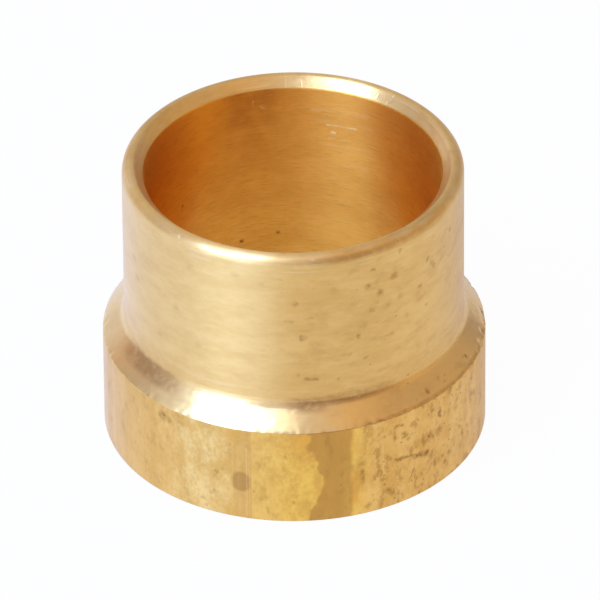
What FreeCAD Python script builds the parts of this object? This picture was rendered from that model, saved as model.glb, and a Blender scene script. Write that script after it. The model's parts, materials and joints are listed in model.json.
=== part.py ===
import FreeCAD, Part
import math
import os

# Compression olive: a stepped brass sleeve, turned from bar as one piece.
# It stands on its collar, with its axis on Z and its foot on the plane Z = 0.
# All lengths are in millimetres and the angle is in degrees.

# Pipe that passes through the olive, and the room left all round it
pipe_diameter = 15.0
pipe_clearance = 0.05

# Thin sleeve, which reaches back through the nut
overall_length = 15.3
sleeve_wall = 1.1

# Thick collar, which is squeezed into the fitting's seat
collar_height = 5.4
collar_step = 1.1

# Shoulder that the nut bears on: a cone, run into the sleeve by a fillet
shoulder_angle = 45.0
shoulder_fillet = 0.8

# Edges: sleeve mouth, foot end of the bore, and the collar's two crisp edges
rim_rounding = 0.5
mouth_chamfer = 0.5
least_land = 0.1
foot_chamfer = 0.3
edge_rounding = 0.08

# Radii of the three turned diameters
bore_radius = pipe_diameter / 2 + pipe_clearance
sleeve_radius = bore_radius + sleeve_wall
collar_radius = sleeve_radius + collar_step

# Height at which the shoulder's cone would meet the sleeve if there were no fillet
shoulder_top = collar_height + collar_step / math.tan(math.radians(shoulder_angle))

# The rim's rounding and chamfer share the wall, and both give way where it is too thin for them
rim_share = min(1.0, (sleeve_wall - least_land) / (rim_rounding + mouth_chamfer))
rim_radius = rim_rounding * rim_share
mouth_leg = mouth_chamfer * rim_share

# Corners of the wall's section, as radius, height and rounding, outwards from the foot and back down the bore
section_corners = [
    (bore_radius + foot_chamfer, 0.0, 0.0),
    (collar_radius, 0.0, edge_rounding),
    (collar_radius, collar_height, edge_rounding),
    (sleeve_radius, shoulder_top, shoulder_fillet),
    (sleeve_radius, overall_length, rim_radius),
    (bore_radius + mouth_leg, overall_length, 0.0),
    (bore_radius, overall_length - mouth_leg, 0.0),
    (bore_radius, foot_chamfer, 0.0),
]


def round_corner(before, corner, after, radius):
    """Start, middle and end of the arc that rounds a corner, or the corner itself three times."""
    towards_before = (before - corner).normalize()
    towards_after = (after - corner).normalize()
    half_angle = towards_before.getAngle(towards_after) / 2
    setback = radius / math.tan(half_angle)
    bisector = (towards_before + towards_after).normalize()
    start = corner + towards_before * setback
    middle = corner + bisector * (radius / math.sin(half_angle) - radius)
    end = corner + towards_after * setback
    return start, middle, end


def section_wire(corners):
    """Closed outline through the corners, with an arc at each one that has a rounding."""
    points = [FreeCAD.Vector(radius, 0, height) for radius, height, rounding in corners]
    arcs = []
    for index, (radius, height, rounding) in enumerate(corners):
        after = points[(index + 1) % len(points)]
        arcs.append(round_corner(points[index - 1], points[index], after, rounding))
    edges = []
    for index, (start, middle, end) in enumerate(arcs):
        if corners[index][2] > 0:
            edges.append(Part.Arc(start, middle, end).toShape())
        next_start = arcs[(index + 1) % len(arcs)][0]
        edges.append(Part.LineSegment(end, next_start).toShape())
    return Part.Wire(edges)


def make_olive():
    """The wall's section, turned once about the pipe's axis."""
    section = Part.Face(section_wire(section_corners))
    return section.revolve(FreeCAD.Vector(0, 0, 0), FreeCAD.Vector(0, 0, 1), 360)


os.makedirs("parts", exist_ok=True)
make_olive().exportStep("parts/olive.step")
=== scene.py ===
import json
import math
import bpy
from mathutils import Matrix, Vector


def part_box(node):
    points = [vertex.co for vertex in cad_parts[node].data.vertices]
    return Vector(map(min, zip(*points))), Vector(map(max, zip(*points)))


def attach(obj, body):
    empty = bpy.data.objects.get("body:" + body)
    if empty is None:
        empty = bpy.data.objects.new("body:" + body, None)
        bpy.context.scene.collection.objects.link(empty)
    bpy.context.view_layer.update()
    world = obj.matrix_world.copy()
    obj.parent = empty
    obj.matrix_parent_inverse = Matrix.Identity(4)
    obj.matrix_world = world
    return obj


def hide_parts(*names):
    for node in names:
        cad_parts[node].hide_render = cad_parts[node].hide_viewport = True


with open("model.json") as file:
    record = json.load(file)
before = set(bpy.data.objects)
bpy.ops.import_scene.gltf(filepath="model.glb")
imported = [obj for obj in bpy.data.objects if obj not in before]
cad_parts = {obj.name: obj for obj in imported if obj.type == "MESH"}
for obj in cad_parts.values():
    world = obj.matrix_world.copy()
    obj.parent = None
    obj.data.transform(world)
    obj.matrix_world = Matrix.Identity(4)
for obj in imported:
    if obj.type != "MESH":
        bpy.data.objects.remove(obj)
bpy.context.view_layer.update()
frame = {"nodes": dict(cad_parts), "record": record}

mm = 0.001  # metres in a millimetre
mounts = {mount["name"]: mount["dims"] for mount in frame["record"]["mounts"]}
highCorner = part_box("olive")[1]
print("frame loaded:", list(frame["nodes"]))


# Node helpers

class Wire:  # an output socket that works in formulas
    def __init__(self, socket):
        self.socket = socket
        self.tree = socket.id_data

    def maths(self, operation, *others):
        node = addNode(self.tree, "ShaderNodeMath", operation=operation)
        feed(node.inputs, self, *others)
        return Wire(node.outputs[0])

    def vector(self, operation, *others):
        node = addNode(self.tree, "ShaderNodeVectorMath", operation=operation)
        feed(node.inputs, self, *others)
        return Wire(node.outputs["Value" if operation in ("DOT_PRODUCT", "LENGTH", "DISTANCE") else "Vector"])

    def scaled(self, factor):
        node = addNode(self.tree, "ShaderNodeVectorMath", operation="SCALE")
        feed([node.inputs["Vector"], node.inputs["Scale"]], self, factor)
        return Wire(node.outputs["Vector"])

    def ramp(self, low, high, bottom=0.0, top=1.0):  # smooth step from low to high
        node = addNode(self.tree, "ShaderNodeMapRange", interpolation_type="SMOOTHSTEP")
        feed(node.inputs, self, low, high, bottom, top)
        return Wire(node.outputs[0])

    def split(self):
        node = addNode(self.tree, "ShaderNodeSeparateXYZ")
        feed(node.inputs, self)
        return [Wire(output) for output in node.outputs]

    def __add__(self, other):
        return self.maths("ADD", other)

    def __sub__(self, other):
        return self.maths("SUBTRACT", other)

    def __mul__(self, other):
        return self.maths("MULTIPLY", other)

    def __truediv__(self, other):
        return self.maths("DIVIDE", other)

    def __lt__(self, other):
        return self.maths("LESS_THAN", other)

    def __gt__(self, other):
        return self.maths("GREATER_THAN", other)


def addNode(tree, kind, **settings):
    node = tree.nodes.new(kind)
    for name, value in settings.items():
        setattr(node, name, value)
    return node


def feed(sockets, *values):  # a wire is linked, a plain value is set
    for socket, value in zip(sockets, values):
        if isinstance(value, Wire):
            socket.id_data.links.new(value.socket, socket)
        elif value is not None:
            socket.default_value = value


def joinXyz(tree, x, y, z):
    node = addNode(tree, "ShaderNodeCombineXYZ")
    feed(node.inputs, x, y, z)
    return Wire(node.outputs[0])


def mixColour(tree, factor, first, second):
    node = addNode(tree, "ShaderNodeMix", data_type="RGBA")
    colours = [socket for socket in node.inputs if socket.type == "RGBA"]
    feed([node.inputs["Factor"]] + colours, factor, first, second)
    return Wire(next(output for output in node.outputs if output.type == "RGBA"))


def noise(tree, place, scale, detail=2.0, roughness=0.5, output="Fac"):
    node = addNode(tree, "ShaderNodeTexNoise")
    names = ("Vector", "Scale", "Detail", "Roughness")
    feed([node.inputs[name] for name in names], place, scale, detail, roughness)
    return Wire(node.outputs[output])


def patch(value, bounds):  # 1 between the middle two bounds, fading to 0 at the outer two
    start, full, fade, end = bounds
    return value.ramp(start, full) * value.ramp(end, fade)


def degreesRight(x, y):  # angle about the axis, from the front to the right
    return x.maths("ARCTAN2", y * -1.0) * math.degrees(1)


def startGroup(name, kind, inputs, outputs):
    tree = bpy.data.node_groups.new(name, kind)
    for label, socketKind in inputs.items():
        tree.interface.new_socket(label, in_out="INPUT", socket_type=socketKind)
    for label, socketKind in outputs.items():
        tree.interface.new_socket(label, in_out="OUTPUT", socket_type=socketKind)
    entry = addNode(tree, "NodeGroupInput")
    wires = {label: Wire(entry.outputs[label]) for label in inputs}
    return tree, wires, addNode(tree, "NodeGroupOutput").inputs


def useGroup(tree, group, values):
    node = addNode(tree, "ShaderNodeGroup", node_tree=group)
    feed([node.inputs[name] for name in values], *values.values())
    return [Wire(output) for output in node.outputs]


number, colour, vector = "NodeSocketFloat", "NodeSocketColor", "NodeSocketVector"


# Sizes and wear of the olive

oliveShape = {  # millimetres
    "Bore Radius": mounts["pipe_bore"]["r_mm"],
    "Sleeve Radius": mounts["sleeve_outside"]["r_mm"],
    "Collar Radius": min(highCorner[0], highCorner[1]) / mm,
    "Overall Length": highCorner[2] / mm,
    "Collar Height": 5.4,
    "Shoulder Fillet": 0.8,
    "Rim Rounding": 0.5,
    "Mouth Chamfer": 0.5,
    "Mouth Edge": 0.2,
    "Foot Chamfer": 0.3,
    "Edge Rounding": 0.08,
    "Soft Edge": 0.03,
    "Row Spacing": 0.17,
    "Bore Row Spacing": 0.4,
    "Burr Depth": 0.14,
}
shoulderAngle = math.radians(45)
segmentCount = 540
burrSeed = (0.011, 0.007, 0.0)  # metres

# Dark spots: angle, height, half width and darkness.
# Angles are in degrees from the front, to the right; lengths are in millimetres.
darkSpots = {
    "collar": [
        (-43.0, 4.78, 0.3, 0.6), (-40.8, 4.68, 0.2, 0.5), (-36.3, 4.84, 0.3, 0.22),
        (-24.0, 2.54, 0.13, 0.45), (-24.7, 1.33, 0.15, 0.4), (-26.0, 1.2, 0.12, 0.3),
        (-28.5, 0.69, 0.14, 0.45), (-10.0, 1.33, 0.14, 0.2), (-3.0, 3.26, 0.12, 0.25),
        (20.0, 3.2, 0.3, 0.28), (22.0, 4.76, 0.26, 0.25), (26.8, 1.83, 0.16, 0.5),
        (29.0, 1.04, 0.2, 0.5), (22.0, 0.47, 0.18, 0.4), (34.5, 4.09, 0.2, 0.6),
        (29.7, 2.97, 0.14, 0.45), (39.0, 3.26, 0.24, 0.3), (44.0, 3.29, 0.15, 0.65),
        (48.0, 3.26, 0.28, 0.35), (48.4, 4.62, 0.13, 0.5), (41.0, 0.61, 0.12, 0.45),
        (50.0, 1.57, 0.12, 0.5), (51.0, 1.1, 0.14, 0.5), (53.5, 1.47, 0.22, 0.4),
        (60.5, 1.97, 0.2, 0.45), (66.5, 1.97, 0.25, 0.22), (54.5, 4.95, 0.12, 0.4),
        (31.0, 0.4, 0.13, 0.4), (45.5, 4.75, 0.14, 0.45), (36.0, 3.75, 0.12, 0.45),
        (27.5, 4.4, 0.12, 0.35), (57.0, 3.9, 0.14, 0.35),
    ],
    "shoulder": [
        (45.5, 5.76, 0.15, 0.7), (68.0, 5.77, 0.11, 0.85), (52.0, 5.95, 0.15, 0.3), (-1.5, 6.2, 0.12, 0.3),
    ],
    "sleeve": [
        (0.5, 12.6, 0.16, 0.4), (2.8, 10.5, 0.17, 0.45), (21.8, 10.17, 0.14, 0.45),
        (35.5, 13.17, 0.21, 0.5), (25.5, 13.02, 0.19, 0.4), (30.0, 12.47, 0.21, 0.45),
        (27.5, 13.97, 0.14, 0.35), (26.8, 11.55, 0.2, 0.25), (33.0, 11.6, 0.25, 0.2),
        (38.0, 11.8, 0.2, 0.2), (47.2, 11.72, 0.15, 0.4), (51.0, 13.05, 0.16, 0.45),
        (53.2, 12.65, 0.17, 0.45), (54.4, 12.4, 0.15, 0.4), (65.5, 13.6, 0.15, 0.5),
        (38.0, 14.5, 0.12, 0.35), (23.5, 10.8, 0.3, 0.16), (7.0, 9.97, 0.4, 0.12),
        (13.5, 13.2, 0.25, 0.16), (14.8, 7.83, 0.11, 0.4), (1.2, 8.25, 0.1, 0.3),
        (24.5, 8.77, 0.12, 0.3), (46.0, 8.2, 0.2, 0.16), (41.0, 10.4, 0.16, 0.2),
        (-65.5, 10.8, 0.25, 0.2), (-68.0, 11.8, 0.25, 0.2), (-43.5, 10.7, 0.3, 0.14),
        (-37.0, 13.77, 0.2, 0.16), (-20.0, 14.05, 0.2, 0.14), (-11.0, 13.7, 0.2, 0.14),
        (-51.5, 8.55, 0.14, 0.2), (-34.0, 9.13, 0.2, 0.12),
    ],
    "bore": [(-131.5, 9.33, 0.1, 0.7), (-159.3, 5.75, 0.11, 0.9), (-174.0, 5.97, 0.11, 0.75)],
}
# Dark scratches: start angle, start height, end angle, end height, half width and darkness
darkScratches = {
    "collar": [
        (31.5, 2.75, 39.0, 2.6, 0.1, 0.55),
        (38.7, 2.55, 43.2, 2.36, 0.15, 0.7),
        (25.2, 3.76, 25.8, 2.1, 0.1, 0.45),
        (28.0, 3.3, 28.3, 2.2, 0.06, 0.35),
        (20.2, 2.65, 20.4, 2.0, 0.13, 0.45),
        (31.3, 4.78, 34.0, 4.72, 0.1, 0.5),
        (48.5, 4.4, 48.8, 4.15, 0.11, 0.6),
        (38.0, 1.75, 36.0, 1.1, 0.06, 0.5),
        (38.3, 1.6, 38.6, 0.5, 0.06, 0.4),
        (58.2, 2.62, 59.8, 2.35, 0.1, 0.35),
        (-8.6, 0.75, -7.4, 0.35, 0.09, 0.25),
        (-45.0, 2.95, -43.5, 2.7, 0.08, 0.25),
        (57.0, 4.95, 59.5, 4.9, 0.08, 0.4),
    ],
    "sleeve": [
        (3.6, 7.97, 7.4, 7.97, 0.1, 0.4),
        (-3.0, 11.5, -0.5, 11.5, 0.08, 0.2),
        (4.0, 11.7, 6.0, 11.7, 0.08, 0.2),
        (16.0, 9.2, 19.0, 9.2, 0.08, 0.2),
        (32.0, 9.7, 35.0, 9.7, 0.09, 0.18),
    ],
}
# Scratches and nicks with a painted glint, in the same order
glintedScratches = {
    "collar": [
        (-14.6, 4.3, -14.6, 0.2, 0.035, 0.3),
        (-13.8, 3.9, -13.8, 0.2, 0.03, 0.25),
        (-18.9, 4.6, -18.9, 0.3, 0.03, 0.2),
        (27.0, 4.0, 27.2, 2.2, 0.03, 0.4),
    ],
    "mouth": [
        (139.5, 15.25, 140.0, 15.05, 0.05, 0.3),
        (141.0, 14.95, 141.0, 14.86, 0.07, 0.35),
        (182.6, 15.25, 182.6, 14.88, 0.03, 0.2),
        (177.0, 15.2, 176.5, 14.86, 0.03, 0.2),
        (146.0, 15.1, 146.0, 14.95, 0.04, 0.3),
    ],
    "rim": [
        (-42.0, 15.18, -41.5, 15.1, 0.07, 0.6),
        (5.4, 15.2, 6.4, 15.14, 0.07, 0.5),
    ],
    "bore": [
        (166.5, 12.7, 154.5, 12.74, 0.045, 0.7),
        (164.6, 12.28, 163.4, 12.26, 0.07, 0.8),
        (168.0, 13.3, 156.0, 13.34, 0.03, 0.3),
        (165.0, 13.72, 155.0, 13.72, 0.03, 0.3),
        (166.0, 11.9, 157.0, 11.94, 0.03, 0.35),
        (172.0, 13.55, 150.0, 13.65, 0.12, 0.2),
        (170.0, 12.9, 148.0, 13.0, 0.1, 0.18),
        (166.0, 11.5, 148.0, 11.6, 0.1, 0.16),
        (160.0, 10.4, 150.0, 10.45, 0.08, 0.16),
        (-164.6, 14.25, -164.4, 13.92, 0.035, 0.4),
        (-169.2, 13.7, -167.8, 13.76, 0.05, 0.5),
    ],
}
mouthFoot = oliveShape["Overall Length"] - oliveShape["Mouth Chamfer"]
rimInset = 0.15  # the rim's nicks lie on its rounding, this far inside the sleeve
surfaceRadius = {  # millimetres, at a height in millimetres
    "collar": lambda height: oliveShape["Collar Radius"],
    "shoulder": lambda height: oliveShape["Collar Radius"] - height + oliveShape["Collar Height"],
    "sleeve": lambda height: oliveShape["Sleeve Radius"],
    "rim": lambda height: oliveShape["Sleeve Radius"] - rimInset,
    "mouth": lambda height: oliveShape["Bore Radius"] + height - mouthFoot,
    "bore": lambda height: oliveShape["Bore Radius"],
}


def onSurface(surface, angle, height):  # point in millimetres
    turn = math.radians(angle)
    radius = surfaceRadius[surface](height)
    return Vector((radius * math.sin(turn), -radius * math.cos(turn), height))


def placeMarks(surfaces, scratches, spots=None):  # two ends, half width and strength of each mark
    placed = []
    for surface in surfaces:
        rows = list(scratches.get(surface, []))
        for angle, height, halfWidth, strength in (spots or {}).get(surface, []):
            rows.append((angle, height, angle, height, halfWidth, strength))
        for startAngle, startHeight, endAngle, endHeight, halfWidth, strength in rows:
            start = onSurface(surface, startAngle, startHeight)
            end = onSurface(surface, endAngle, endHeight)
            placed.append((start, end, halfWidth, strength))
    return placed


# Shader groups shared by the olive's finishes

def buildLinesGroup():  # fine tool or die lines, drawn out by the stretch given for each axis
    tree, use, out = startGroup(
        "toolLines", "ShaderNodeTree",
        {"Place": vector, "Stretch": vector, "Seed": vector},
        {"Line": number, "Streak": number},
    )
    drawnOut = use["Place"].vector("MULTIPLY", use["Stretch"]).vector("ADD", use["Seed"])
    line = noise(tree, drawnOut, 1.0, detail=3.0, roughness=0.65)
    streak = noise(tree, drawnOut.scaled(0.31), 1.0, detail=2.0)
    feed(out, line.ramp(0.25, 0.75), streak.ramp(0.3, 0.7))
    return tree


def buildSpecksGroup():  # scattered dark pits of one size, as many as the amount says
    tree, use, out = startGroup(
        "specks", "ShaderNodeTree",
        {"Place": vector, "Size": number, "Amount": number},
        {"Mask": number},
    )
    wobble = noise(tree, use["Place"], 5.0, output="Color")
    shaken = use["Place"].vector("ADD", wobble.scaled(0.25))
    cells = addNode(tree, "ShaderNodeTexVoronoi")
    cellPlace = shaken.scaled(use["Size"].maths("POWER", -1.0))
    feed([cells.inputs["Vector"], cells.inputs["Scale"]], cellPlace, 1.0)
    chance, reach = Wire(cells.outputs["Color"]).split()[:2]
    pitRadius = reach * 0.22 + 0.1  # in cells
    blot = (pitRadius - Wire(cells.outputs["Distance"])) / pitRadius
    feed(out, blot.ramp(0.0, 0.6) * (chance < use["Amount"]))
    return tree


def buildToneGroup():  # cloudy change between two tones, darkened by stain
    tree, use, out = startGroup(
        "brassTone", "ShaderNodeTree",
        {"Place": vector, "Cloud Scale": number, "Grain": number, "Pale": colour, "Deep": colour,
         "Stain": number, "Stain Tone": colour},
        {"Colour": colour},
    )
    cloud = noise(tree, use["Place"], use["Cloud Scale"], detail=4.0, roughness=0.6)
    grain = noise(tree, use["Place"], 4.5, detail=3.0, roughness=0.7)
    patchy = (cloud + (grain - 0.5) * use["Grain"]).ramp(0.3, 0.7)
    clean = mixColour(tree, patchy, use["Pale"], use["Deep"])
    feed(out, mixColour(tree, use["Stain"], clean, use["Stain Tone"]))
    return tree


def buildSpotGroup():  # one spot, as nearness to its centre
    tree, use, out = startGroup(
        "wearSpot", "ShaderNodeTree",
        {"Place": vector, "Centre": vector, "Half Width": number},
        {"Mask": number},
    )
    gap = use["Place"].vector("DISTANCE", use["Centre"]) / use["Half Width"]
    feed(out, gap.ramp(1.6, 0.2))
    return tree


def buildScratchGroup():  # one scratch, as nearness to the line between its two ends
    tree, use, out = startGroup(
        "wearScratch", "ShaderNodeTree",
        {"Place": vector, "From": vector, "To": vector, "Half Width": number},
        {"Mask": number},
    )
    along = use["To"].vector("SUBTRACT", use["From"])
    away = use["Place"].vector("SUBTRACT", use["From"])
    share = away.vector("DOT_PRODUCT", along) / along.vector("DOT_PRODUCT", along)
    nearest = along.scaled(share.maths("MAXIMUM", 0.0).maths("MINIMUM", 1.0))
    gap = away.vector("DISTANCE", nearest) / use["Half Width"]
    feed(out, gap.ramp(1.7, 0.2))
    return tree


linesGroup = buildLinesGroup()
specksGroup = buildSpecksGroup()
toneGroup = buildToneGroup()
spotGroup = buildSpotGroup()
scratchGroup = buildScratchGroup()
print("shader groups built")


# Finishes: all are bare brass, and differ by how each surface was cut.
# Angles are in degrees from the front, to the right; heights and depths are in millimetres.
# A patch's four bounds say where it starts, is full, starts to fade and ends.

def startBrass(name, finish):
    material = bpy.data.materials.new(name)
    material.use_nodes = True
    tree = material.node_tree
    shader = tree.nodes["Principled BSDF"]
    shader.inputs["Metallic"].default_value = 1.0
    shader.inputs["Anisotropic"].default_value = finish["anisotropy"]
    shader.inputs["Anisotropic Rotation"].default_value = 0.25  # rough across the tool's lines
    shader.inputs["Coat Weight"].default_value = finish["coat"]
    shader.inputs["Coat Roughness"].default_value = 0.35
    around = addNode(tree, "ShaderNodeTangent", direction_type="RADIAL", axis="Z")
    feed([shader.inputs["Tangent"]], Wire(around.outputs[0]))
    spot = addNode(tree, "ShaderNodeTexCoord")
    place = Wire(spot.outputs["Object"]).scaled(1 / mm)
    return material, tree, shader, place


def shiftPattern(place, pattern):
    return place.vector("MULTIPLY", pattern["stretch"]).vector("ADD", pattern["seed"])


def drawLines(tree, place, lines):  # fine line and broad streak
    return useGroup(tree, linesGroup, {"Place": place, "Stretch": lines["stretch"], "Seed": lines["seed"]})


def scatterSpecks(tree, place, specks):
    values = {"Place": shiftPattern(place, specks), "Size": specks["size"], "Amount": specks["amount"]}
    return useGroup(tree, specksGroup, values)[0]


def cloudTone(tree, place, cloud, pale, deep, stain, stainTone):
    values = {"Place": shiftPattern(place, cloud), "Cloud Scale": cloud["scale"], "Grain": cloud["grain"],
              "Pale": pale, "Deep": deep, "Stain": stain, "Stain Tone": stainTone}
    return useGroup(tree, toneGroup, values)[0]


def addMarks(tree, place, marks, ragged):  # the strongest mark at each point, shaken by so many millimetres
    wobble = noise(tree, place, 3.5, detail=4.0, output="Color").vector("SUBTRACT", (0.5, 0.5, 0.5))
    shaken = place.vector("ADD", wobble.scaled(ragged))
    strongest = None
    for start, end, halfWidth, strength in marks:
        group, ends = scratchGroup, {"From": start, "To": end}
        if start == end:
            group, ends = spotGroup, {"Centre": start}
        mark = useGroup(tree, group, {"Place": shaken, "Half Width": halfWidth, **ends})[0] * strength
        strongest = mark if strongest is None else strongest.maths("MAXIMUM", mark)
    return strongest * noise(tree, place, 5.0, detail=2.0).ramp(0.3, 0.65, 0.5, 1.15)


def addBump(tree, shader, height, depth):
    bump = addNode(tree, "ShaderNodeBump")
    bump.inputs["Distance"].default_value = depth * mm
    feed([bump.inputs["Height"]], height)
    feed([shader.inputs["Normal"]], Wire(bump.outputs[0]))


noShift = (0.0, 0.0, 0.0)
turnedFinish = {
    "pale": (0.91, 0.59, 0.195, 1), "deep": (0.83, 0.515, 0.155, 1), "polished": (0.85, 0.555, 0.19, 1),
    # the nick colour is a painted glint, on nicks and on turning rings
    "stain": (0.36, 0.135, 0.02, 1), "nick": (1.0, 0.8, 0.45, 1),
    "satin": 0.34, "gloss": 0.2, "lineRoughness": 0.05, "dirtRoughness": 0.2, "anisotropy": 0.9, "coat": 0.5,
    "cloud": {"stretch": (0.45, 0.45, 1.2), "seed": noShift, "scale": 0.9, "grain": 0.45},
    "strokes": {"stretch": (1.6, 1.6, 16.0), "seed": (3.1, 1.7, 0.4), "depth": 0.0007, "polishedAway": 0.8},
    # the rings' brightness is a painted glint along the turning lines
    "rings": {"stretch": (0.03, 0.03, 9.0), "seed": (5.2, 0.6, 7.7), "depth": 0.007, "brightness": 0.45,
              "aboveShoulder": (8.0, 7.1), "belowRim": (13.9, 14.7)},
    "specks": {"stretch": (0.7, 0.7, 1.2), "seed": noShift, "size": 0.34, "amount": 0.12, "darkness": 0.38},
    "smudges": {"stretch": (0.8, 0.8, 1.6), "seed": noShift, "scale": 1.1, "darkness": 0.2},
    "dirtierRight": (-20.0, 30.0, 0.25, 1.0),  # two angles, and the share of specks and smudges at each
    "raggedMarks": 0.35, "raggedNicks": 0.15, "pitDepth": 0.012, "waveScale": 0.55, "waveDepth": 0.05,
    "bruise": {"angles": (-68.0, -62.0, -52.0, -45.0), "aboveCollar": 0.5, "scale": 2.6, "swell": 0.6,
               "sink": 4.0, "depth": 0.03},
    "shades": [  # angles, heights and darkness of darker stretches: painted shade for dark reflections on the shoulder and its fillet, dirt along the collar's edge, and a line below the rim
        ((-74.0, -66.0, -46.0, -37.0), (5.75, 6.05, 6.55, 6.8), 0.42),
        ((-5.0, 3.0, 6.0, 14.0), (6.0, 6.35, 6.7, 7.0), 0.5),
        ((7.0, 12.0, 28.0, 44.0), (6.3, 6.55, 6.8, 7.05), 0.32),
        ((16.0, 30.0, 84.0, 90.0), (5.36, 5.4, 5.46, 5.6), 0.35),
        ((3.0, 8.0, 50.0, 70.0), (14.7, 14.86, 15.1, 15.25), 0.25),
    ],
}


def makeTurnedBrass(finish):  # sleeve, shoulder and rim: the lathe's own surface
    material, tree, shader, place = startBrass("turnedBrass", finish)
    strokes, rings, bruise = finish["strokes"], finish["rings"], finish["bruise"]
    specks, smudges = finish["specks"], finish["smudges"]
    x, y, z = place.split()
    angle = degreesRight(x, y)
    polishNode = addNode(tree, "ShaderNodeAttribute", attribute_name="polish")
    polish = Wire(polishNode.outputs["Fac"])
    dull = polish * -1.0 + 1.0
    feed([shader.inputs["Anisotropic"]], dull * finish["anisotropy"])
    stroke, streak = drawLines(tree, place, strokes)
    ring = drawLines(tree, place, rings)[0]
    ringed = z.ramp(*rings["aboveShoulder"]).maths("MAXIMUM", z.ramp(*rings["belowRim"])) * dull

    # dirt in marks, specks and smudges, and darker stretches that only darken: painted shade on the shoulder
    # and fillet, dirt at the collar's edge, and a line below the rim
    marks = placeMarks(["sleeve", "shoulder"], darkScratches, darkSpots)
    stain = addMarks(tree, place, marks, finish["raggedMarks"])
    speck = scatterSpecks(tree, place, specks) * specks["darkness"]
    cloud = noise(tree, shiftPattern(place, smudges), smudges["scale"], detail=4.0, roughness=0.6)
    smudge = cloud.ramp(0.5, 0.75) * smudges["darkness"]
    worn = speck.maths("MAXIMUM", smudge) * angle.ramp(*finish["dirtierRight"])
    dirt = stain.maths("MAXIMUM", worn)
    smear = noise(tree, place, 2.4, detail=4.0).ramp(0.3, 0.6, 0.5, 1.2)
    # painted shade for the shoulder's and fillet's dark reflections, laid over the dirt
    dirtAndPaintedShade = dirt
    for angles, heights, darkness in finish["shades"]:
        dirtAndPaintedShade = dirtAndPaintedShade.maths("MAXIMUM", patch(angle, angles) * patch(z, heights) * smear * darkness)

    # nicks on the rim and mouth, and broken rings beside the shoulder and the rim, each with a painted glint
    nick = addMarks(tree, place, placeMarks(["rim", "mouth"], glintedScratches), finish["raggedNicks"])
    broken = noise(tree, place, 0.6).ramp(0.42, 0.62)
    paintedGlint = nick.maths("MAXIMUM", ring.ramp(0.5, 1.0) * ringed * broken * rings["brightness"])

    # both the dirt and the painted shade darken the colour, on the sleeve and on the polished shoulder
    tone = cloudTone(tree, place, finish["cloud"], finish["pale"], finish["deep"], dirtAndPaintedShade, finish["stain"])
    gleam = mixColour(tree, dirtAndPaintedShade, finish["polished"], finish["stain"])
    cut = mixColour(tree, polish, tone, gleam)
    # the painted glints lighten the colour towards the nick colour
    feed([shader.inputs["Base Color"]], mixColour(tree, paintedGlint, cut, finish["nick"]))
    uneven = finish["lineRoughness"]
    satin = streak * uneven + stroke * uneven + (finish["satin"] - uneven)
    smoothing = polish * (finish["gloss"] / finish["satin"] - 1.0) + 1.0
    feed([shader.inputs["Roughness"]], satin * smoothing + dirt * finish["dirtRoughness"])

    # relief: strokes and rings, slow waves on the shoulder, and a bruised stretch of its lower half
    low = (z * -1.0 + (oliveShape["Collar Height"] + bruise["aboveCollar"])).maths("MAXIMUM", 0.0)
    lump = noise(tree, place, bruise["scale"], detail=2.0)
    bruised = lump * bruise["swell"] - low * low * bruise["sink"]
    dent = bruised * patch(angle, bruise["angles"]) * polish * bruise["depth"]
    wave = noise(tree, place, finish["waveScale"], detail=2.0) * polish * finish["waveDepth"]
    stroked = stroke * (polish * -strokes["polishedAway"] + 1.0) * strokes["depth"]
    height = stroked + ring * ringed * rings["depth"] + wave + dent
    addBump(tree, shader, height - (dirt + nick) * finish["pitDepth"], 1.0)
    return material


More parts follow.
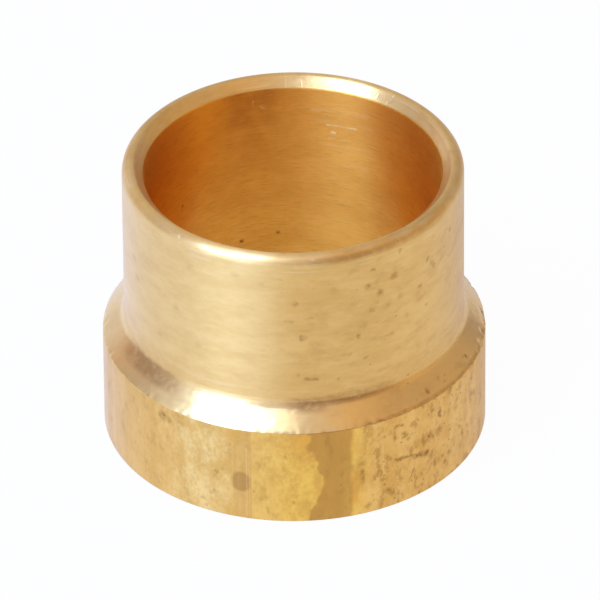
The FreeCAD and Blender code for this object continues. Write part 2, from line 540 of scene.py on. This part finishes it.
drawnFinish = {
    "pale": (0.95, 0.585, 0.18, 1), "deep": (0.75, 0.41, 0.085, 1), "cream": (1.0, 0.7, 0.255, 1),
    "gilt": (1.0, 0.65, 0.135, 1), "brown": (0.61, 0.32, 0.07, 1), "orange": (0.82, 0.38, 0.06, 1),
    # the nick colour is a painted glint on the collar's nicks
    "stain": (0.26, 0.09, 0.012, 1), "nick": (0.98, 0.68, 0.28, 1),
    "rough": {"least": 0.26, "streak": 0.08, "dirt": 0.1, "lump": 0.12}, "anisotropy": 0.0, "coat": 0.15,
    "cloud": {"stretch": (1.0, 1.0, 0.7), "seed": noShift, "scale": 0.8, "grain": 0.5, "contrast": 0.8},
    "lines": {"stretch": (5.0, 5.0, 0.25), "seed": (7.3, 2.9, 5.1)},
    "columns": {"stretch": (0.9, 0.9, 0.05), "seed": (2.6, 4.8, 0.9), "darkness": 0.4, "lessOnGilt": 0.7},
    "specks": {"stretch": (1.0, 1.0, 0.7), "seed": noShift, "size": 0.4, "amount": 0.16, "darkness": 0.25},
    "pits": {"stretch": (1.0, 1.0, 1.0), "seed": (4.4, 2.3, 8.1), "size": 0.28, "amount": 0.45,
             "darkness": 0.4},
    "blotches": {"stretch": (1.3, 1.3, 0.8), "seed": (3.7, 9.2, 1.5), "scale": 1.3, "darkness": 0.2,
                 "moreOnPitted": 0.3},
    "raggedMarks": 0.4, "raggedNicks": 0.1, "raggedBorder": 1.3,
    "relief": {"depth": 0.045, "lump": 0.25, "line": 0.08, "streak": 0.1, "pit": 0.6, "stain": 0.5,
               "nick": 0.4},
    # the paler cream zone at the collar's front left is a painted sheen
    "pitted": (16.0, 26.0, 70.0, 95.0), "creamed": (-42.0, -33.0, -22.0, -19.0),
    "lined": {"angles": (-19.4, -18.8, -13.4, -13.0), "strength": 0.2, "byLine": 0.25},
    "dulledLeft": (-36.0, -52.0, 0.0, 0.5),  # two angles, and how much painted shade darkens the skin at each
    # on the right, dirt on the burred edge dulls the skin, given the same way
    "dulledRight": (64.0, 80.0, 0.0, 0.5),
    "gilded": {"border": (-14.5, -12.0), "deepening": (-11.0, 1.0), "end": (26.0, 15.0)},
    "band": {"height": 2.4, "halfHeight": 2.5, "leftAtEnds": 3.6, "leftAtMiddle": 7.8, "right": 17.0,
             "softness": 0.8, "strength": 0.72, "byColumn": 0.25},
    "blushStrength": 0.7,
    "upperBlush": {"start": (-6.0, 4.0), "end": (20.0, 14.0), "heights": (2.8, 5.0)},
    "lowerBlush": {"angles": (15.0, 17.0, 18.5, 21.0), "heights": (0.5, 1.0, 2.3, 3.0)},
    "roundSpot": {"From": onSurface("collar", -16.3, 2.12), "To": onSurface("collar", -16.3, 2.36),
                  "Half Width": 0.42},
    "roundSpotDarkness": 0.42,
}


def makeDrawnBrass(finish):  # collar: the drawn skin of the bar, with lines along it and a pitted side
    material, tree, shader, place = startBrass("drawnBrass", finish)
    specks, pits, blotches = finish["specks"], finish["pits"], finish["blotches"]
    columns, lining, rough, relief = finish["columns"], finish["lined"], finish["rough"], finish["relief"]
    x, y, z = place.split()
    angle = degreesRight(x, y)
    border = finish["raggedBorder"]
    ragged = angle + noise(tree, place, 1.1, detail=4.0).ramp(0.25, 0.75, -border, border)
    line, streak = drawLines(tree, place, finish["lines"])
    column = drawLines(tree, place, columns)[0]
    lump = noise(tree, place, 2.6, detail=4.0, roughness=0.65)

    # dirt in marks, specks, blotches and pits
    pitted = patch(angle, finish["pitted"])
    marks = placeMarks(["collar"], darkScratches, darkSpots)
    stain = addMarks(tree, place, marks, finish["raggedMarks"])
    roundSpot = useGroup(tree, scratchGroup, {"Place": place, **finish["roundSpot"]})[0]
    stain = stain.maths("MAXIMUM", roundSpot.ramp(0.05, 0.55) * finish["roundSpotDarkness"])
    # nicks on the collar, each with a painted glint, also sunk in the relief
    nick = addMarks(tree, place, placeMarks(["collar"], glintedScratches), finish["raggedNicks"])
    speck = scatterSpecks(tree, place, specks) * specks["darkness"]
    pit = scatterSpecks(tree, place, pits) * pitted
    cloud = noise(tree, shiftPattern(place, blotches), blotches["scale"], detail=5.0, roughness=0.65)
    blotch = cloud.ramp(0.5, 0.7) * (pitted * blotches["moreOnPitted"] + blotches["darkness"])
    mottle = speck.maths("MAXIMUM", blotch).maths("MAXIMUM", pit * pits["darkness"])
    dirt = stain.maths("MAXIMUM", mottle)

    # gilt patch, its lined left border, and the brown band with an orange blush beside it
    gilded, band = finish["gilded"], finish["band"]
    gilt = (ragged.ramp(*gilded["border"]) + ragged.ramp(*gilded["deepening"])) * 0.5
    gilt = gilt * angle.ramp(*gilded["end"])
    fromMiddle = (z - band["height"]).maths("ABSOLUTE")
    bandLeft = fromMiddle.ramp(band["halfHeight"], 0.0, band["leftAtEnds"], band["leftAtMiddle"])
    wavy = ragged * 0.3 + angle * 0.7
    bandRight = wavy.ramp(band["right"] + band["softness"], band["right"] - band["softness"])
    banded = (ragged - bandLeft).ramp(-0.6, 0.5) * bandRight
    lined = patch(angle, lining["angles"])
    upper, lower = finish["upperBlush"], finish["lowerBlush"]
    upperBlush = ragged.ramp(*upper["start"]) * z.ramp(*upper["heights"]) * angle.ramp(*upper["end"])
    lowerBlush = patch(ragged, lower["angles"]) * patch(z, lower["heights"])
    blush = upperBlush.maths("MAXIMUM", lowerBlush)

    # clean skin, from its palest zone, a painted sheen at the front left, to its brown one
    clean = mixColour(tree, patch(ragged, finish["creamed"]), finish["pale"], finish["cream"])
    clean = mixColour(tree, gilt, clean, finish["gilt"])
    # painted shade towards the collar's left side and dirt towards its burred right side, added to the die
    # lines' darkening
    sideShadeAndDirt = angle.ramp(*finish["dulledLeft"]) + angle.ramp(*finish["dulledRight"])
    linesShadeAndDirt = column * (gilt * -columns["lessOnGilt"] + 1.0) * columns["darkness"] + sideShadeAndDirt
    clean = mixColour(tree, linesShadeAndDirt, clean, finish["deep"])
    clean = mixColour(tree, blush * finish["blushStrength"], clean, finish["orange"])
    bandBrown = banded * (column * band["byColumn"] + band["strength"])
    linedBrown = lined * (line * lining["byLine"] + lining["strength"])
    clean = mixColour(tree, bandBrown.maths("MAXIMUM", linedBrown), clean, finish["brown"])
    deep = mixColour(tree, finish["cloud"]["contrast"], clean, finish["deep"])
    deep = mixColour(tree, banded, deep, finish["brown"])
    tone = cloudTone(tree, place, finish["cloud"], clean, deep, dirt, finish["stain"])
    # painted glints on the nicks lighten the colour
    feed([shader.inputs["Base Color"]], mixColour(tree, nick, tone, finish["nick"]))
    uneven = streak * rough["streak"] + dirt * rough["dirt"] + lump * rough["lump"]
    feed([shader.inputs["Roughness"]], uneven + rough["least"])
    raised = lump * (pitted + relief["lump"]) + line * relief["line"] + streak * relief["streak"]
    sunk = pit * relief["pit"] + stain * relief["stain"] + nick * relief["nick"]
    addBump(tree, shader, raised - sunk, relief["depth"])
    return material


reamedFinish = {
    "pale": (0.94, 0.5, 0.086, 1), "deep": (0.84, 0.42, 0.066, 1), "tarnish": (0.55, 0.22, 0.035, 1),
    # the nick colour is a painted glint on the bore's nicks and paler strokes
    "stain": (0.26, 0.09, 0.015, 1), "nick": (1.0, 0.8, 0.36, 1),
    "rough": {"least": 0.35, "stroke": 0.06}, "anisotropy": 0.9, "coat": 0.0, "raggedMarks": 0.1,
    "cloud": {"stretch": (0.5, 0.5, 1.0), "seed": noShift, "scale": 0.5, "grain": 0.4},
    "strokes": {"stretch": (1.2, 1.2, 14.0), "seed": (1.3, 8.9, 3.7), "depth": 0.003, "contrast": 0.2,
                "streak": 0.4},
    "tarnished": {"angles": (-180.0, -168.0, -162.0, -142.0), "heights": (9.0, 13.8), "darkness": 0.5},
}


def makeReamedBrass(finish):  # bore: short strokes from the reamer, and a darker stretch near the mouth
    material, tree, shader, place = startBrass("reamedBrass", finish)
    strokes, tarnished, rough = finish["strokes"], finish["tarnished"], finish["rough"]
    x, y, z = place.split()
    angle = degreesRight(x, y)
    stroke, streak = drawLines(tree, place, strokes)
    stain = addMarks(tree, place, placeMarks(["bore"], darkScratches, darkSpots), finish["raggedMarks"])
    dirt = stain.maths("MAXIMUM", stroke.ramp(0.6, 1.0) * strokes["contrast"])
    # painted glints on the bore's nicks and on the paler parts of the reamer strokes
    nick = addMarks(tree, place, placeMarks(["bore"], glintedScratches), finish["raggedMarks"])
    paintedGlint = nick.maths("MAXIMUM", stroke.ramp(0.3, 0.0) * strokes["contrast"])
    smear = noise(tree, place, 0.9, detail=3.0).ramp(0.3, 0.65, 0.4, 1.2)
    nearMouth = patch(angle, tarnished["angles"]) * z.ramp(*tarnished["heights"])
    tone = cloudTone(tree, place, finish["cloud"], finish["pale"], finish["deep"], dirt, finish["stain"])
    tone = mixColour(tree, nearMouth * smear * tarnished["darkness"], tone, finish["tarnish"])
    # the painted glints lighten the colour
    feed([shader.inputs["Base Color"]], mixColour(tree, paintedGlint, tone, finish["nick"]))
    feed([shader.inputs["Roughness"]], stroke * rough["stroke"] + rough["least"])
    addBump(tree, shader, stroke + streak * strokes["streak"], strokes["depth"])
    return material


partedFinish = {
    "pale": (0.9, 0.58, 0.2, 1), "deep": (0.82, 0.5, 0.15, 1), "stain": (0.38, 0.24, 0.08, 1),
    "rough": {"least": 0.25, "band": 0.1}, "anisotropy": 0.3, "coat": 0.0,
    "cloud": {"stretch": (1.0, 1.0, 1.0), "seed": noShift, "scale": 0.5, "grain": 0.4},
    "rings": {"stretch": (8.0, 1.0, 1.0), "seed": (2.2, 6.1, 9.4), "depth": 0.006, "darkness": 0.1},
}


def makePartedBrass(finish):  # foot: rings left where the piece was cut off the bar
    material, tree, shader, place = startBrass("partedBrass", finish)
    rings, rough = finish["rings"], finish["rough"]
    x, y = place.split()[:2]
    outwards = joinXyz(tree, x, y, 0.0).vector("LENGTH")
    ring, band = drawLines(tree, joinXyz(tree, outwards, 0.0, 0.0), rings)
    stain = band * rings["darkness"]
    tone = cloudTone(tree, place, finish["cloud"], finish["pale"], finish["deep"], stain, finish["stain"])
    feed([shader.inputs["Base Color"]], tone)
    feed([shader.inputs["Roughness"]], band * rough["band"] + rough["least"])
    addBump(tree, shader, ring + band, rings["depth"])
    return material


materials = {
    "turned": makeTurnedBrass(turnedFinish),
    "drawn": makeDrawnBrass(drawnFinish),
    "reamed": makeReamedBrass(reamedFinish),
    "parted": makePartedBrass(partedFinish),
}
print("finishes built:", list(materials))


# The olive: its section's corners are rounded, then turned about the pipe's axis

def chainNode(tree, geometry, kind, socketName="Geometry", **settings):
    node = addNode(tree, kind, **settings)
    feed([node.inputs[socketName]], geometry)
    return node, Wire(node.outputs[0])


def pickByIndex(tree, kind, values):
    node = addNode(tree, "GeometryNodeIndexSwitch", data_type=kind)
    while len(node.index_switch_items) < len(values):
        node.index_switch_items.new()
    feed([node.inputs["Index"]], Wire(addNode(tree, "GeometryNodeInputIndex").outputs[0]))
    feed(node.inputs[1:], *values)
    return Wire(node.outputs[0])


def buildOliveTree():
    inputs = {label: number for label in oliveShape}
    inputs.update({"Shoulder Angle": number, "Segments": "NodeSocketInt"})
    inputs["Burr Seed"] = vector
    tree, use, out = startGroup("turnedOlive", "GeometryNodeTree", inputs, {"Geometry": "NodeSocketGeometry"})
    tree.is_modifier = True

    # section, measured outwards from the bore's wall
    collarWall = use["Collar Radius"] - use["Bore Radius"]
    sleeveWall = use["Sleeve Radius"] - use["Bore Radius"]
    shoulderTop = use["Collar Height"] + (collarWall - sleeveWall) / use["Shoulder Angle"].maths("TANGENT")
    length = use["Overall Length"]
    softEdge = use["Soft Edge"]
    corners = [
        (use["Foot Chamfer"], 0.0, softEdge),
        (collarWall, 0.0, use["Edge Rounding"]),
        (collarWall, use["Collar Height"], use["Edge Rounding"]),
        (sleeveWall, shoulderTop, use["Shoulder Fillet"]),
        (sleeveWall, length, use["Rim Rounding"]),
        (use["Mouth Chamfer"], length, use["Mouth Edge"]),
        (0.0, length - use["Mouth Chamfer"], use["Mouth Edge"]),
        (0.0, use["Foot Chamfer"], softEdge),
    ]
    line = addNode(tree, "GeometryNodeMeshLine")
    line.inputs["Count"].default_value = len(corners)
    cornerPlaces = [joinXyz(tree, outwards, height, 0.0) for outwards, height, rounding in corners]
    node, section = chainNode(tree, Wire(line.outputs[0]), "GeometryNodeSetPosition")
    feed([node.inputs["Position"]], pickByIndex(tree, "VECTOR", cornerPlaces).vector("MULTIPLY", (1, -1, 1)))
    node, section = chainNode(tree, section, "GeometryNodeCaptureAttribute")
    node.capture_items.new("FLOAT", "Rounding")
    feed([node.inputs["Rounding"]], pickByIndex(tree, "FLOAT", [rounding for *place, rounding in corners]))
    rounding = Wire(node.outputs["Rounding"])
    node, section = chainNode(tree, section, "GeometryNodeMeshToCurve", "Mesh")
    node, section = chainNode(tree, section, "GeometryNodeSetSplineCyclic")
    node.inputs["Cyclic"].default_value = True
    node, section = chainNode(tree, section, "GeometryNodeFilletCurve", "Curve", mode="POLY")
    arcPoints = (rounding / mm).ramp(0.0, 0.5, 2.0, 11.0)  # more points on the larger roundings
    feed([node.inputs["Count"], node.inputs["Radius"]], arcPoints, rounding)

    # rows along the straight stretches, wider apart in the bore
    position = Wire(addNode(tree, "GeometryNodeInputPosition").outputs[0])
    nextPoint = addNode(tree, "GeometryNodeOffsetPointInCurve")
    nextPoint.inputs["Offset"].default_value = 1
    ahead = addNode(tree, "GeometryNodeFieldAtIndex", data_type="FLOAT_VECTOR", domain="POINT")
    feed([ahead.inputs["Value"], ahead.inputs["Index"]], position, Wire(nextPoint.outputs["Point Index"]))
    reach = position.vector("DISTANCE", Wire(ahead.outputs[0]))
    inBore = position.split()[0] < softEdge
    spacing = use["Row Spacing"] + (use["Bore Row Spacing"] - use["Row Spacing"]) * inBore
    node, section = chainNode(tree, section, "GeometryNodeSubdivideCurve", "Curve")
    feed([node.inputs["Cuts"]], (reach / spacing).maths("FLOOR"))

    # one turn about the axis
    circle = addNode(tree, "GeometryNodeCurvePrimitiveCircle", mode="RADIUS")
    feed([circle.inputs["Resolution"], circle.inputs["Radius"]], use["Segments"], use["Bore Radius"])
    sweep = addNode(tree, "GeometryNodeCurveToMesh")
    feed([sweep.inputs["Curve"], sweep.inputs["Profile Curve"]], Wire(circle.outputs["Curve"]), section)
    node, body = chainNode(tree, Wire(sweep.outputs[0]), "GeometryNodeFlipFaces", "Mesh")

    # how bright the tool left each point: the shoulder is polished, and its fillet less and less upwards
    x, y, z = position.split()
    radius = joinXyz(tree, x, y, 0.0).vector("LENGTH")
    filletDrop = use["Shoulder Fillet"] * (use["Shoulder Angle"] * 0.5).maths("TANGENT")
    onCone = z.ramp(shoulderTop + filletDrop * 0.6, shoulderTop - filletDrop * 0.3)
    node, body = chainNode(tree, body, "GeometryNodeStoreNamedAttribute", data_type="FLOAT", domain="POINT")
    feed([node.inputs["Name"], node.inputs["Value"]], "polish", onCone)

    # burred upper edge of the collar, mostly on its right side
    burrPlace = position.vector("ADD", use["Burr Seed"])
    burr = noise(tree, burrPlace, 2.2 / mm, detail=3.0, roughness=0.6).ramp(0.45, 0.8)
    edgeGap = (z - use["Collar Height"]).maths("ABSOLUTE")
    onEdge = edgeGap.ramp(use["Edge Rounding"] * 3.0, use["Edge Rounding"]) * (radius > use["Sleeve Radius"])
    rightSide = x.ramp(use["Collar Radius"] * 0.2, use["Collar Radius"] * 0.6, 0.3, 1.0)
    inwards = joinXyz(tree, x * -1.0, y * -1.0, radius * -1.0).vector("NORMALIZE")
    node, body = chainNode(tree, body, "GeometryNodeSetPosition")
    feed([node.inputs["Offset"]], inwards.scaled(burr * onEdge * rightSide * use["Burr Depth"]))

    # finishes by zone
    node, body = chainNode(tree, body, "GeometryNodeSetShadeSmooth")
    node, body = chainNode(tree, body, "GeometryNodeRealizeInstances")
    onSkin = radius > use["Collar Radius"] - use["Edge Rounding"]
    zones = {
        "turned": None,
        "drawn": (z < use["Collar Height"]) * onSkin,
        "reamed": radius < use["Bore Radius"] + softEdge,
        "parted": (z < use["Foot Chamfer"]) * (onSkin * -1.0 + 1.0),
    }
    for name, selection in zones.items():
        node, body = chainNode(tree, body, "GeometryNodeSetMaterial")
        feed([node.inputs["Selection"]], selection)
        node.inputs["Material"].default_value = materials[name]
    feed(out, body)
    return tree


def setInput(modifier, name, value):
    for item in modifier.node_group.interface.items_tree:
        if item.item_type == "SOCKET" and item.in_out == "INPUT" and item.name == name:
            modifier[item.identifier] = value


def makeOlive():
    olive = bpy.data.objects.new("brass_olive", bpy.data.meshes.new("brass_olive"))
    bpy.context.scene.collection.objects.link(olive)
    turning = olive.modifiers.new("turning", "NODES")
    turning.node_group = buildOliveTree()
    for name, size in oliveShape.items():
        setInput(turning, name, size * mm)
    setInput(turning, "Shoulder Angle", shoulderAngle)
    setInput(turning, "Segments", segmentCount)
    setInput(turning, "Burr Seed", burrSeed)
    finished = bpy.data.meshes.new_from_object(olive.evaluated_get(bpy.context.evaluated_depsgraph_get()))
    olive.modifiers.clear()
    olive.data = finished
    return olive


olive = makeOlive()
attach(olive, "root")
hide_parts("olive")
print("olive turned:", len(olive.data.vertices), "points,", len(olive.data.polygons), "faces")


# Stage: white floor, a large soft lamp to the front left, and a pale room that is warmer to the right

floorSetup = {"halfSize": 1.5, "white": (0.65, 0.65, 0.65, 1), "glowSeen": 0.97, "glowReflected": 0.75}
paintedFloorLight = {  # painted light and shade in the floor's glow that the brass mirrors: tone towards an azimuth, with the cosines between which it sets in
    "shade": {"azimuth": 150, "from": 0.5, "full": 1.0, "tone": (0.78, 0.75, 0.76, 1)},
    "lit": {"azimuth": -80, "from": 0.05, "full": 0.75, "tone": (1.03, 1.18, 1.62, 1)},
    "far": {"azimuth": -45, "from": 0.75, "full": 0.97, "tone": (1.08, 1.3, 2.3, 1),
            "distance": (0.03, 0.06)},
}
floorTone = (0.92, 0.92, 0.9, 1)
seenWhite = (1, 1, 1, 1)  # floor and room as the camera itself sees them
lampSetups = {
    "softbox": {"azimuth": -47, "elevation": 46, "distance": 0.3, "width": 0.175, "height": 0.32,
                "radiance": 4.0, "tint": (0.6, 0.95, 1.9)},
    "panel": {"azimuth": -11, "elevation": 55, "distance": 0.3, "width": 0.06, "height": 0.13,
              "radiance": 0.85, "tint": (0.85, 1.0, 1.5)},
}
roomHeights = {"low": 10, "middle": 45, "high": 75}  # degrees above the horizon
roomTones = [  # azimuth, then the tones low, in the middle and high
    (-180, (0.62, 0.57, 0.58), (0.62, 0.62, 0.63), (0.8, 0.74, 0.77)),
    (-147, (0.64, 0.6, 0.7), (0.8, 0.8, 0.9), (0.9, 0.86, 0.95)),
    (-137, (0.85, 0.95, 1.4), (0.7, 0.7, 0.8), (0.9, 0.86, 0.95)),
    (-125, (0.67, 0.57, 0.64), (0.71, 0.71, 0.95), (0.9, 0.86, 0.95)),
    (-102, (0.56, 0.57, 0.8), (0.56, 0.57, 0.8), (0.85, 0.84, 0.95)),
    (-78, (0.85, 0.98, 1.4), (0.9, 1.03, 1.65), (0.85, 0.88, 1.1)),
    (-38, (1.4, 1.65, 2.8), (0.9, 1.05, 1.7), (0.85, 0.98, 1.35)),
    (0, (0.5, 0.42, 0.46), (0.75, 0.83, 1.3), (0.84, 0.9, 1.05)),
    (38, (0.28, 0.19, 0.17), (0.8, 0.64, 0.5), (0.95, 0.8, 0.66)),
    (76, (0.76, 0.59, 0.43), (0.6, 0.49, 0.43), (0.9, 0.7, 0.6)),
    (122, (0.57, 0.49, 0.44), (0.56, 0.48, 0.46), (0.78, 0.64, 0.62)),
    (142, (0.41, 0.36, 0.4), (0.42, 0.4, 0.46), (0.66, 0.58, 0.64)),
]
cameraSetup = {"target": (0.0, 0.0, 7.5), "elevation": 34.5, "distance": 578.1, "pixelsPerMm": 19.6654,
               "roll": -0.467, "targetPixel": (293.87, 290.16), "imageSize": 600, "sensor": 36.0}


def compassDirection(azimuth, elevation=0):
    turn, level = math.radians(azimuth), math.cos(math.radians(elevation))
    return Vector((math.sin(turn) * level, -math.cos(turn) * level, math.sin(math.radians(elevation))))


def makeFloor(setup):
    half = setup["halfSize"]
    corners = [(-half, -half, 0), (half, -half, 0), (half, half, 0), (-half, half, 0)]
    mesh = bpy.data.meshes.new("floor")
    mesh.from_pydata(corners, [], [(0, 1, 2, 3)])
    floor = bpy.data.objects.new("floor", mesh)
    bpy.context.scene.collection.objects.link(floor)
    material = bpy.data.materials.new("whiteFloor")
    material.use_nodes = True
    tree = material.node_tree
    tree.nodes.remove(tree.nodes["Principled BSDF"])
    matte = addNode(tree, "ShaderNodeBsdfDiffuse")
    matte.inputs["Color"].default_value = setup["white"]
    glow = addNode(tree, "ShaderNodeEmission")
    light = addNode(tree, "ShaderNodeLightPath")
    onCamera = Wire(light.outputs["Is Camera Ray"])
    spot = addNode(tree, "ShaderNodeTexCoord")
    place = Wire(spot.outputs["Object"])
    # painted shadow on the side away from the lamp and painted light towards it, seen only in reflections
    tone = floorTone
    for side in paintedFloorLight.values():
        facing = place.vector("NORMALIZE").vector("DOT_PRODUCT", compassDirection(side["azimuth"]))
        share = facing.ramp(side["from"], side["full"])
        if "distance" in side:
            share = share * place.vector("LENGTH").ramp(*side["distance"])
        tone = mixColour(tree, share, tone, side["tone"])
    feed([glow.inputs["Color"]], mixColour(tree, onCamera, tone, seenWhite))
    seen = onCamera * setup["glowSeen"]
    glossy, through = Wire(light.outputs["Is Glossy Ray"]), Wire(light.outputs["Is Transmission Ray"])
    mirrored = glossy.maths("MAXIMUM", through)
    blend = addNode(tree, "ShaderNodeMixShader")
    share = seen + mirrored * setup["glowReflected"]
    feed(blend.inputs, share, Wire(matte.outputs[0]), Wire(glow.outputs[0]))
    feed(tree.nodes["Material Output"].inputs, Wire(blend.outputs[0]))
    mesh.materials.append(material)
    return floor


def makeLamp(name, setup):  # radiance 1 looks white
    data = bpy.data.lights.new(name, "AREA")
    data.shape = "ELLIPSE"
    data.size = setup["width"]
    data.size_y = setup["height"]
    area = math.pi / 4 * setup["width"] * setup["height"]
    data.energy = setup["radiance"] * math.pi * area
    data.color = setup["tint"]
    lamp = bpy.data.objects.new(name, data)
    bpy.context.scene.collection.objects.link(lamp)
    direction = compassDirection(setup["azimuth"], setup["elevation"])
    lamp.location = direction * setup["distance"]
    lamp.rotation_euler = direction.to_track_quat("Z", "Y").to_euler()


def addCompass(tree, azimuth, level):  # tones all round the room at one height
    node = addNode(tree, "ShaderNodeValToRGB")
    stops = node.color_ramp.elements
    for end in stops:
        end.color = (*roomTones[0][1 + level], 1)
    for stopAzimuth, *tones in roomTones[1:]:
        stops.new(stopAzimuth / 360 + 0.5).color = (*tones[level], 1)
    feed(node.inputs, azimuth / 360 + 0.5)
    return Wire(node.outputs["Color"])


def makeRoom(heights):
    world = bpy.data.worlds.new("room")
    bpy.context.scene.world = world
    world.use_nodes = True
    tree = world.node_tree
    direction = addNode(tree, "ShaderNodeTexCoord")
    x, y, z = Wire(direction.outputs["Generated"]).split()
    azimuth, elevation = degreesRight(x, y), z.maths("ARCSINE") * math.degrees(1)
    low, middle, high = [addCompass(tree, azimuth, level) for level in range(len(heights))]
    around = mixColour(tree, elevation.ramp(heights["low"], heights["middle"]), low, middle)
    around = mixColour(tree, elevation.ramp(heights["middle"], heights["high"]), around, high)
    seen = Wire(addNode(tree, "ShaderNodeLightPath").outputs["Is Camera Ray"])
    feed([tree.nodes["Background"].inputs["Color"]], mixColour(tree, seen, around, seenWhite))


def makeCamera(setup):
    tilt = math.radians(setup["elevation"])
    back = Vector((0, -math.cos(tilt), math.sin(tilt)))
    right = Vector((1, 0, 0))
    up = back.cross(right)
    roll = Matrix.Rotation(math.radians(setup["roll"]), 3, back)
    right, up = roll @ right, roll @ up
    middle = setup["imageSize"] / 2
    targetX, targetY = setup["targetPixel"]
    aim = Vector(setup["target"])
    aim += (right * (middle - targetX) + up * (targetY - middle)) / setup["pixelsPerMm"]
    data = bpy.data.cameras.new("photoCamera")
    data.sensor_width = setup["sensor"]
    data.lens = setup["pixelsPerMm"] * setup["distance"] / setup["imageSize"] * setup["sensor"]
    data.clip_start = 0.01  # metres
    camera = bpy.data.objects.new("photoCamera", data)
    bpy.context.scene.collection.objects.link(camera)
    turned = Matrix((right, up, back)).transposed().to_4x4()
    camera.matrix_world = Matrix.Translation((aim + back * setup["distance"]) * mm) @ turned
    bpy.context.scene.camera = camera


floor = makeFloor(floorSetup)
for lampName, lampSetup in lampSetups.items():
    makeLamp(lampName, lampSetup)
makeRoom(roomHeights)
makeCamera(cameraSetup)
bpy.context.scene.view_settings.view_transform = "Standard"
print("stage set")
